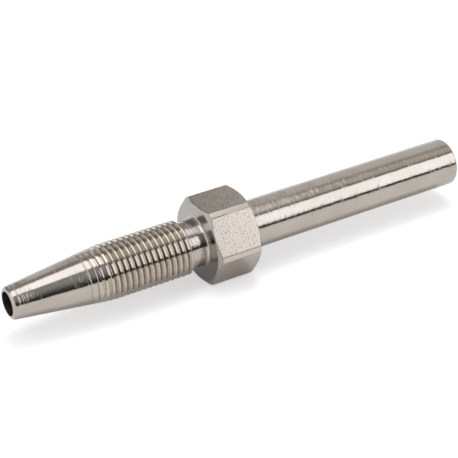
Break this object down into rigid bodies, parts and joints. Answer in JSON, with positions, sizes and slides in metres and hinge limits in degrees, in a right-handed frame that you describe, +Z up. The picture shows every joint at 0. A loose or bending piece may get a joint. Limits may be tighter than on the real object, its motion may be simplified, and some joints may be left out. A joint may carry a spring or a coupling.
{
  "type": "threaded nipple",
  "caption": "One-piece turned nipple with a tapered nose, fine male thread, neck, chamfered hexagon and plain pipe stub, bored through.",
  "frame": {"origin": "on the axis, in the plane of the hexagon's front face", "axes": "+X along the axis from the tapered nose to the pipe stub, +Z up with one flat of the hexagon facing straight down"},
  "size_m": [0.062, 0.0112, 0.01],
  "materials": {
    "plated_metal": "nickel plated, bright turned surfaces with a satin hexagon"
  },
  "bodies": {
    "root": {"nipple": "plated_metal"}
  },
  "joints": []
}
